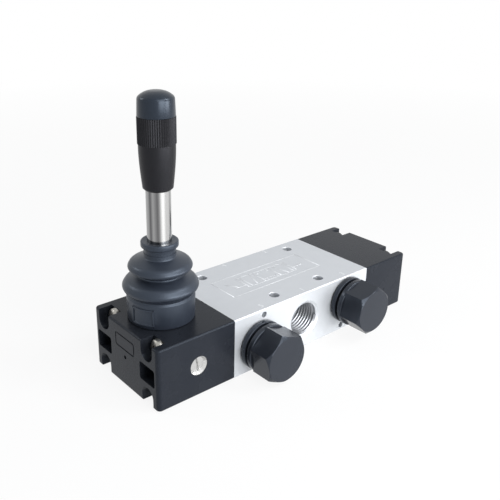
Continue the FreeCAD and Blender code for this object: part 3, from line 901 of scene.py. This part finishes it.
    def symbol(self) -> None:
        """Mark a plain five-port, three-position symbol in a frame on the top."""
        bm = bmesh.new()
        side = self.box_side
        left, low = self.box_left, self.box_low
        right, high = left + 3 * side, low + side
        last = right - side
        first_way, middle_way, last_way = self.ways
        self.outline(bm, self.mark_low, self.mark_high)
        self.outline(bm, (left, low), (right, high))
        for box in (1, 2):
            self.strip(bm, (left + box * side, low), (left + box * side, high))
        for a, b, start, end in ((first_way, first_way, low, high), (last_way, middle_way, high, low)):
            self.strip(bm, (left + a * side, start), (left + b * side, end))
            self.strip(bm, (last + (1 - a) * side, start), (last + (1 - b) * side, end))
        for way in self.ways:
            self.closed_way(bm, left + side + way * side, low, 1)
        for way in (first_way, last_way):
            self.closed_way(bm, left + side + way * side, high, -1)
        hand = low + self.hand_rise
        self.strip(bm, (left, hand), (left - self.hand_length, hand))
        self.strip(bm, (left - self.hand_foot, hand), (left - self.hand_tip[0], low + self.hand_tip[1]))
        half = self.notch_step / 2
        for step in range(3):
            x = right + self.notch_start + self.notch_step * step
            self.strip(bm, (x - half, low + self.notch_high), (x, low + self.notch_low))
            self.strip(bm, (x, low + self.notch_low), (x + half, low + self.notch_high))
        self.piece("valve_symbol", bm, MARKING, Body.BASE)

    def outline(self, bm: bmesh.types.BMesh, low: Spot, high: Spot) -> None:
        """Lay the four lines of a rectangle.

        Args:
            bm: Mesh that takes the lines.
            low: Corner at the lowest x and y.
            high: Corner at the highest x and y.
        """
        corners = [low, (high[0], low[1]), high, (low[0], high[1])]
        for a, b in zip(corners, [*corners[1:], corners[0]]):
            self.strip(bm, a, b)

    def closed_way(self, bm: bmesh.types.BMesh, x: float, y: float, way: int) -> None:
        """Lay the short T that shows a closed way.

        Args:
            bm: Mesh that takes the lines.
            x: Place along the body.
            y: Place of the box's side.
            way: 1 into the box towards +Y, -1 towards -Y.
        """
        tip = y + way * self.stop_rise
        self.strip(bm, (x, y), (x, tip))
        self.strip(bm, (x - self.stop_half, tip), (x + self.stop_half, tip))

    def port_numbers(self) -> None:
        """Mark the ports with plain numbers on the top."""
        for text, (x, y) in self.numbers:
            curve = bpy.data.curves.new("number", "FONT")
            curve.body = text
            curve.size = self.number_size * MM
            curve.offset = self.number_weight * MM
            curve.align_x = "CENTER"
            source = bpy.data.objects.new("number_source", curve)
            bpy.context.scene.collection.objects.link(source)
            graph = bpy.context.evaluated_depsgraph_get()
            mesh = bpy.data.meshes.new_from_object(source.evaluated_get(graph))
            bpy.data.objects.remove(source)
            mesh.transform(Matrix.Translation(Vector((x, y, self.height + self.mark_lift)) * MM))
            self.place(f"port_number_{text}", mesh, MARKING, Body.BASE)


@dataclass
class EndBlocks(SubAssembly):
    """Black housing and cover with their screws and detent.

    Attributes:
        block_edge: Width of the blocks' broken edges.
        ball_travel: How far the detent's ball is pressed in; not used.
        coil_smooth: Angle in degrees up to which the coil's faces are shaded as one.
    """

    block_edge: float = 0.45
    ball_travel: float = 0.3
    coil_smooth: float = 40.0

    def build(self) -> None:
        """Dress the two end blocks and what they hold."""
        self.dress("lever_housing", BLACK_CAST, edge=self.block_edge)
        self.dress("end_cover", BLACK_CAST, edge=self.block_edge)
        self.dress("housing_face_seal", SEAL_RUBBER)
        self.dress("cover_face_seal", SEAL_RUBBER)
        self.dress("housing_screws", SCREW_ZINC)
        self.dress("cover_screws", SCREW_BLACK)
        self.dress("detent_plug", SCREW_STEEL)
        self.dress("detent_ball", PLAIN_STEEL)
        self.dress("spool_clevis", PLAIN_STEEL)
        self.dress("clevis_pin", PLAIN_STEEL)
        self.spring()

    def spring(self) -> None:
        """Make the detent's spring again as a smooth coil on the base, in place of the part's spring.
        """
        mesh = self.frame["nodes"]["detent_spring"].data.copy()
        for polygon in mesh.polygons:
            polygon.use_smooth = True
            polygon.material_index = 0
        coil = self.place("detent_coil", mesh, PLAIN_STEEL, Body.BASE)
        coil.modifiers.new("weld", "WELD").merge_threshold = WELD_REACH
        split_edges(coil, self.coil_smooth)
        settle(coil)
        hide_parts("detent_spring")
        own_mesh(coil)


@dataclass
class Silencers(SubAssembly):
    """The two exhaust silencers.

    Attributes:
        head_edge: Width of the heads' broken edges.
    """

    head_edge: float = 0.35

    def build(self) -> None:
        """Dress both silencers."""
        for side in ("left", "right"):
            self.dress(f"{side}_silencer_base", GLOSS_BLACK)
            self.dress(f"{side}_silencer_head", GLOSS_BLACK, edge=self.head_edge)
            self.dress(f"{side}_silencer_felt", FELT)
            self.dress(f"{side}_silencer_seal", SEAL_RUBBER)


@dataclass
class Lever(SubAssembly):
    """Rod, hub and grip.

    Attributes:
        cap_smooth: Angle in degrees up to which the cap's faces are shaded as one.
        grip_smooth: Angle in degrees up to which the grip's faces are shaded as one.
        cap: Outline of the cap as (radius, height, rounding) corners.
    """

    cap_smooth: float = 50.0
    grip_smooth: float = 20.0
    cap: tuple[Corner, ...] = (
        (0.0, 132.8, 0.0),
        (8.9, 132.8, 0.35),
        (8.55, 141.5, 2.0),
        (5.0, 144.1, 8.0),
        (0.0, 144.5, 0.0),
    )

    def build(self) -> None:
        """Dress the lever's pieces."""
        cap = self.turned("round_cap", list(self.cap), CAP_BLACK, Body.LEVER)
        split_edges(cap, self.cap_smooth)
        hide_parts("grip_cap")
        self.dress("lever_hub", PLAIN_STEEL)
        self.dress("pivot_bush", BRASS)
        self.dress("pivot_pin", PLAIN_STEEL)
        self.dress("lever_rod", ROD_STEEL)
        self.dress("grip_body", GRIP_BLACK, smooth=self.grip_smooth)
        self.dress("grip_insert", BRASS)


@dataclass
class Boot(SubAssembly):
    """Bellows boot with the bare raised frame on its skirt.

    The outline is a list of (radius, height, rounding) corners, as in the part's source but
    for a shallower dish round the rod.

    Attributes:
        smooth: Angle in degrees up to which faces are shaded as one.
        foot_z: Height of the boot's foot.
        wall: Thickness of the wall of the folds.
        hold_radius: Radius of the neck's bore, which holds the rod.
        fit_radius: Radius of the skirt's bore.
        undercut_z: Height of the upper end of the skirt's bore.
        skirt: Outline of the skirt.
        folds: Outline of the folds.
        neck: Outline of the neck and its collar.
        dish_z: Height of the dish's lowest place, at the rod.
        inner_neck_z: Height of the lower end of the neck's bore.
        blend_start: Height up to which the boot was to stay with the base; not used.
        blend_end: Height from which the boot was to go with the lever; not used.
        frame_radius: Radius of the frame's face.
        frame_base_radius: Radius inside the skirt that the frame stands on.
        frame_low: Height of the frame's lower side.
        frame_high: Height of the frame's upper side.
        frame_turn: Direction of the frame's middle, in degrees from +X towards +Y.
        frame_half_angle: Half the frame's width, in degrees round the axis.
        frame_line: Width of the frame's raised line.
        frame_slope: Width of the slope inside the line.
        frame_sink: Depth of the bare field inside the line.
        frame_steps: Steps of the frame's arc.
        frame_edge: Width of the frame's rounded edges.
        frame_edge_steps: Steps of a rounded edge.
        frame_edge_angle: Angle in degrees from which an edge is rounded.
        outward: How straight a face has to look away from the axis to be the frame's face.
    """

    smooth: float = 38.0
    foot_z: float = 33.3
    wall: float = 1.6
    hold_radius: float = 6.03
    fit_radius: float = 14.6
    undercut_z: float = 46.5
    skirt: tuple[Corner, ...] = (
        (16.8, 33.3, 0.3),
        (17.0, 45.5, 0.6),
        (16.2, 46.5, 0.4),
    )
    folds: tuple[Corner, ...] = (
        (19.4, 49.9, 2.2),
        (17.2, 53.4, 3.5),
        (10.4, 56.5, 1.0),
        (16.4, 59.6, 1.5),
        (14.6, 62.7, 3.0),
    )
    neck: tuple[Corner, ...] = (
        (8.0, 65.0, 0.6),
        (8.0, 67.3, 0.0),
        (7.8, 67.3, 0.0),
        (7.8, 70.1, 0.3),
        (9.2, 70.1, 0.6),
        (9.2, 73.1, 0.6),
        (8.2, 73.1, 0.3),
    )
    dish_z: float = 72.8
    inner_neck_z: float = 63.4
    blend_start: float = 45.0
    blend_end: float = 67.0
    frame_radius: float = 17.4
    frame_base_radius: float = 16.6
    frame_low: float = 34.9
    frame_high: float = 43.7
    frame_turn: float = 203.5
    frame_half_angle: float = 20.5
    frame_line: float = 0.9
    frame_slope: float = 0.12
    frame_sink: float = 0.42
    frame_steps: int = 28
    frame_edge: float = 0.25
    frame_edge_steps: int = 3
    frame_edge_angle: float = 35.0
    outward: float = 0.9

    def build(self) -> None:
        """Make the bellows and its frame."""
        self.bellows()
        self.label_frame()

    def corners(self) -> list[Corner]:
        """Give the closed outline, up the outside and down the inside.

        Returns:
            The corners in order.
        """
        inside = [(r - self.wall, z, rounding) for r, z, rounding in self.folds]
        return [
            (self.fit_radius, self.foot_z, 0.0),
            *self.skirt,
            *self.folds,
            *self.neck,
            (self.hold_radius, self.dish_z, 0.0),
            (self.hold_radius, self.inner_neck_z, 0.0),
            *inside[::-1],
            (self.fit_radius, self.undercut_z, 0.0),
        ]

    def bellows(self) -> None:
        """Turn the bellows from its outline, with the corners rounded."""
        obj = self.turned("bellows_boot", self.corners(), RUBBER, None)
        split_edges(obj, self.smooth)
        settle(obj)
        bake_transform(obj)
        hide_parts("boot")

    def label_frame(self) -> None:
        """Make the raised bare frame on the skirt, towards the housing's end."""
        bm = bmesh.new()
        turn = Matrix.Rotation(math.radians(self.frame_turn - self.frame_half_angle), 4, "Z")
        shift = Matrix.Translation(Vector((self.lever_x, 0, 0)) * MM)
        section = [
            (self.frame_base_radius, self.frame_low),
            (self.frame_radius, self.frame_low),
            (self.frame_radius, self.frame_high),
            (self.frame_base_radius, self.frame_high),
        ]
        verts = [bm.verts.new(shift @ turn @ (Vector((r, 0, z)) * MM)) for r, z in section]
        face = bm.faces.new(verts)
        bmesh.ops.spin(
            bm,
            geom=[face, *face.edges, *face.verts],
            cent=Vector((self.lever_x, 0, 0)) * MM,
            axis=(0, 0, 1),
            angle=2 * math.radians(self.frame_half_angle),
            steps=self.frame_steps,
        )
        bmesh.ops.recalc_face_normals(bm, faces=bm.faces)
        outside = []
        for side in bm.faces:
            if side.normal.dot(self.away(side.calc_center_median())) > self.outward:
                outside.append(side)
        for width in (self.frame_line, self.frame_slope):
            bmesh.ops.inset_region(bm, faces=outside, thickness=width * MM, use_even_offset=True)
        for vert in {vert for side in outside for vert in side.verts}:
            vert.co -= self.away(vert.co) * self.frame_sink * MM
        obj = self.piece("skirt_frame", bm, RUBBER, Body.BASE)
        break_edges(obj, self.frame_edge, self.frame_edge_steps, self.frame_edge_angle)

    def away(self, spot: Vector) -> Vector:
        """Give the level direction from the lever's axis to a place.

        Args:
            spot: The place in metres.

        Returns:
            The direction, of length 1.
        """
        level = spot - Vector((self.lever_x, 0, 0)) * MM
        level.z = 0.0
        return level.normalized()


@dataclass(frozen=True)
class Lamp:
    """One soft box.

    Attributes:
        name: Its name.
        place: Its place in metres.
        size: Side of its square in metres.
        power: Its power in watts.
    """

    name: str
    place: Point
    size: float
    power: float

    def hang(self, target: Vector) -> None:
        """Hang the soft box.

        Args:
            target: Place in metres that it faces.
        """
        data = bpy.data.lights.new(self.name, "AREA")
        data.energy = self.power
        data.size = self.size
        lamp = bpy.data.objects.new(self.name, data)
        lamp.location = self.place
        lamp.rotation_euler = (target - Vector(self.place)).to_track_quat("-Z", "Y").to_euler()
        bpy.context.scene.collection.objects.link(lamp)


@dataclass(frozen=True)
class Studio:
    """Camera, floor and lights.

    Attributes:
        camera_place: Camera place in metres.
        camera_turn: Camera turn in degrees, XYZ.
        lens: Focal length in millimetres.
        sensor: Width of the camera's frame in millimetres.
        camera_shift: Shift of the lens that the photograph's framing has.
        clip: Nearest and furthest distance that the camera sees, in metres.
        floor_half: Half the floor's side in metres.
        floor_drop: How far the floor lies under the valve, in metres.
        floor_grey: Grey of the floor where light falls on it.
        near_white: Share of plain white in the floor under the valve.
        fade: Distances in metres between which the floor turns all white.
        world_colour: Colour of the surround's light.
        world_light: Strength of the surround's light.
        target: Place that the lamps face.
        lamps: The soft boxes.
    """

    camera_place: Point = (-0.24091, -0.24990, 0.19670)
    camera_turn: Point = (69.16362, -0.34066, -38.98071)
    lens: float = 48.786
    sensor: float = 36.0
    camera_shift: Spot = (0.0636, -0.0580)
    clip: Spot = (0.01, 20.0)
    floor_half: float = 12.0
    floor_drop: float = 0.0004
    floor_grey: float = 0.86
    near_white: float = 0.88
    fade: Spot = (0.2, 0.9)
    world_colour: Colour = (0.93, 0.96, 1.0)
    world_light: float = 0.33
    target: Point = (-0.02, 0.0, 0.04)
    lamps: tuple[Lamp, ...] = (
        Lamp("top", (-0.05, 0.10, 0.75), 0.7, 0.15),
        Lamp("key", (0.34, -0.434, 0.583), 0.22, 2.1),
        Lamp("low_front", (-0.05, -0.80, 0.06), 0.5, 6.8),
        Lamp("high_front", (-0.05, -0.65, 0.50), 0.5, 3.2),
        Lamp("low_right", (0.36, -0.62, 0.02), 0.35, 4.5),
        Lamp("back", (-0.45, 0.50, 0.50), 0.15, 0.7),
    )

    def build(self) -> None:
        """Set up the whole studio."""
        self.camera()
        self.floor()
        self.world()
        for lamp in self.lamps:
            lamp.hang(Vector(self.target))

    def camera(self) -> None:
        """Place the camera where the photograph was taken from."""
        data = bpy.data.cameras.new("camera")
        data.lens = self.lens
        data.sensor_width = self.sensor
        data.shift_x, data.shift_y = self.camera_shift
        data.clip_start, data.clip_end = self.clip
        camera = bpy.data.objects.new("camera", data)
        camera.location = self.camera_place
        camera.rotation_euler = [math.radians(a) for a in self.camera_turn]
        bpy.context.scene.collection.objects.link(camera)
        bpy.context.scene.camera = camera

    def floor(self) -> None:
        """Lay a pale floor that stays white to the camera, with a soft shadow under the valve."""
        bm = bmesh.new()
        bmesh.ops.create_grid(bm, x_segments=1, y_segments=1, size=self.floor_half)
        mesh = bpy.data.meshes.new("floor")
        bm.to_mesh(mesh)
        bm.free()
        obj = bpy.data.objects.new("floor", mesh)
        obj.location.z = -self.floor_drop
        bpy.context.scene.collection.objects.link(obj)
        material = bpy.data.materials.new("pale_floor")
        material.use_nodes = True
        nodes = material.node_tree.nodes
        links = material.node_tree.links
        nodes.clear()
        out = nodes.new("ShaderNodeOutputMaterial")
        matt = nodes.new("ShaderNodeBsdfDiffuse")
        matt.inputs["Color"].default_value = (self.floor_grey, self.floor_grey, self.floor_grey, 1.0)
        glow = nodes.new("ShaderNodeEmission")
        glow.inputs["Strength"].default_value = 1.0
        mix = nodes.new("ShaderNodeMixShader")
        place = nodes.new("ShaderNodeTexCoord")
        away = nodes.new("ShaderNodeVectorMath")
        away.operation = "LENGTH"
        links.new(place.outputs["Object"], away.inputs[0])
        span = nodes.new("ShaderNodeMapRange")
        span.inputs["From Min"].default_value = self.fade[0]
        span.inputs["From Max"].default_value = self.fade[1]
        span.inputs["To Min"].default_value = self.near_white
        links.new(away.outputs["Value"], span.inputs["Value"])
        share = nodes.new("ShaderNodeMath")
        share.operation = "MULTIPLY"
        links.new(span.outputs["Result"], share.inputs[1])
        links.new(self.white_rays(nodes, links), share.inputs[0])
        links.new(share.outputs["Value"], mix.inputs["Fac"])
        links.new(matt.outputs["BSDF"], mix.inputs[1])
        links.new(glow.outputs["Emission"], mix.inputs[2])
        links.new(mix.outputs["Shader"], out.inputs["Surface"])
        mesh.materials.append(material)

    def white_rays(self, nodes: bpy.types.Nodes, links: bpy.types.NodeLinks) -> bpy.types.NodeSocket:
        """Add the test for rays that see the background: from the camera, gloss or glass.

        Args:
            nodes: Nodes of the material or world.
            links: Links of the material or world.

        Returns:
            The socket that is 1 for such a ray.
        """
        rays = nodes.new("ShaderNodeLightPath")
        last = rays.outputs["Is Camera Ray"]
        for name in ("Is Glossy Ray", "Is Transmission Ray"):
            either = nodes.new("ShaderNodeMath")
            either.operation = "MAXIMUM"
            links.new(last, either.inputs[0])
            links.new(rays.outputs[name], either.inputs[1])
            last = either.outputs["Value"]
        return last

    def world(self) -> None:
        """Give a white surround to the camera and a softer one to the lighting."""
        world = bpy.data.worlds.new("studio")
        world.use_nodes = True
        bpy.context.scene.world = world
        nodes = world.node_tree.nodes
        links = world.node_tree.links
        nodes.clear()
        out = nodes.new("ShaderNodeOutputWorld")
        seen = nodes.new("ShaderNodeBackground")
        seen.inputs["Color"].default_value = (1.0, 1.0, 1.0, 1.0)
        lit = nodes.new("ShaderNodeBackground")
        lit.inputs["Color"].default_value = (*self.world_colour, 1.0)
        lit.inputs["Strength"].default_value = self.world_light
        mix = nodes.new("ShaderNodeMixShader")
        links.new(self.white_rays(nodes, links), mix.inputs["Fac"])
        links.new(lit.outputs["Background"], mix.inputs[1])
        links.new(seen.outputs["Background"], mix.inputs[2])
        links.new(mix.outputs["Shader"], out.inputs["Surface"])


def main() -> None:
    """Build the dressed valve."""
    logging.basicConfig(level=logging.INFO, format="%(name)s: %(message)s")
    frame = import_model()
    bpy.context.scene.view_settings.view_transform = "Standard"
    Studio().build()
    shelf = FinishShelf()
    for assembly in (ValveBlock, EndBlocks, Silencers, Lever, Boot):
        assembly(shelf, frame).build()


if __name__ == "__main__":
    main()
